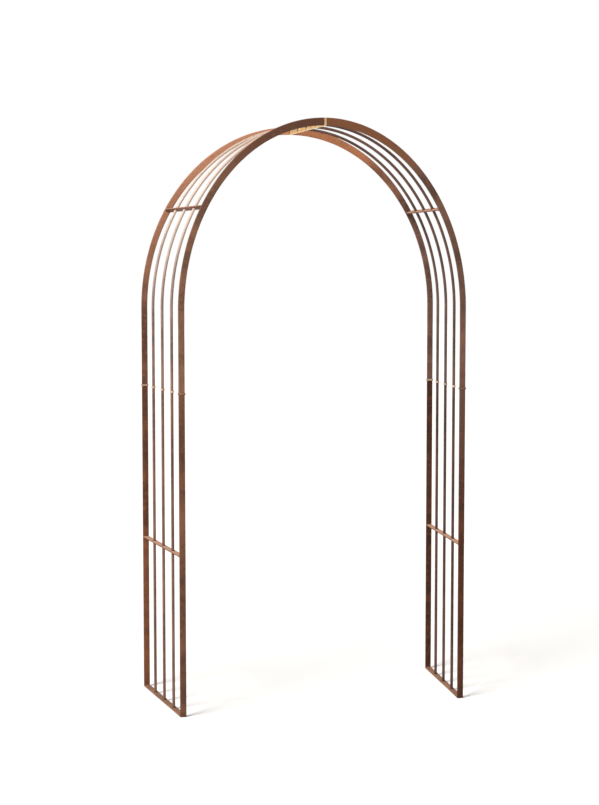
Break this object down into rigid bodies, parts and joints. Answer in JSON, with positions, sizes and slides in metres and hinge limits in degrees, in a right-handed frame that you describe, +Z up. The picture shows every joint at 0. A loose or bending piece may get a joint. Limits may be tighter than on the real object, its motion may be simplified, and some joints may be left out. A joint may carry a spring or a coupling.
{
  "type": "garden trellis arch",
  "caption": "Free-standing rusted steel garden arch: flat outer bars and round rods rise from its legs, bend over in a half ellipse and bolt together at the crown.",
  "frame": {"origin": "on the ground, under the middle of the arch", "axes": "+Z up; +X from the left leg to the right leg; +Y from the front of the arch to the back, so people walk through along Y"},
  "size_m": [1.2508, 0.5336, 2.29],
  "materials": {
    "bar": "flat bar with an even coat of brown rust, matt and slightly pitted",
    "rod": "round bar with brown rust, worn a little paler on the outside of the curve",
    "crossbar": "punched flat bar with orange-brown rust, paler on top",
    "collar": "rubbed rusty steel, pale where the joint is handled",
    "spigot": "bare steel, hidden inside the joints",
    "plate": "golden zinc-passivated plate, satin with rust stains at the edges",
    "fastener": "yellow zinc-plated hardware, satin"
  },
  "bodies": {
    "root": {"left_leg_front_upright": "bar", "left_arch_front_hoop_bar": "bar", "left_front_bar_collar": "collar", "left_front_bar_spigot": "spigot", "left_leg_back_upright": "bar", "left_arch_back_hoop_bar": "bar", "left_back_bar_collar": "collar", "left_back_bar_spigot": "spigot", "left_leg_front_rod": "rod", "left_arch_front_rod": "rod", "left_front_rod_collar": "collar", "left_front_rod_spigot": "spigot", "left_leg_middle_rod": "rod", "left_arch_middle_rod": "rod", "left_middle_rod_collar": "collar", "left_middle_rod_spigot": "spigot", "left_leg_back_rod": "rod", "left_arch_back_rod": "rod", "left_back_rod_collar": "collar", "left_back_rod_spigot": "spigot", "left_leg_crossbar": "crossbar", "left_bottom_rail": "crossbar", "left_arch_crossbar": "crossbar", "left_crown_plate": "plate", "right_leg_front_upright": "bar", "right_arch_front_hoop_bar": "bar", "right_front_bar_collar": "collar", "right_front_bar_spigot": "spigot", "right_leg_back_upright": "bar", "right_arch_back_hoop_bar": "bar", "right_back_bar_collar": "collar", "right_back_bar_spigot": "spigot", "right_leg_front_rod": "rod", "right_arch_front_rod": "rod", "right_front_rod_collar": "collar", "right_front_rod_spigot": "spigot", "right_leg_middle_rod": "rod", "right_arch_middle_rod": "rod", "right_middle_rod_collar": "collar", "right_middle_rod_spigot": "spigot", "right_leg_back_rod": "rod", "right_arch_back_rod": "rod", "right_back_rod_collar": "collar", "right_back_rod_spigot": "spigot", "right_leg_crossbar": "crossbar", "right_bottom_rail": "crossbar", "right_arch_crossbar": "crossbar", "right_crown_plate": "plate", "crown_front_bolt": "fastener", "crown_front_nut": "fastener", "crown_front_left_washer": "fastener", "crown_front_right_washer": "fastener", "crown_back_bolt": "fastener", "crown_back_nut": "fastener", "crown_back_left_washer": "fastener", "crown_back_right_washer": "fastener"}
  },
  "joints": []
}
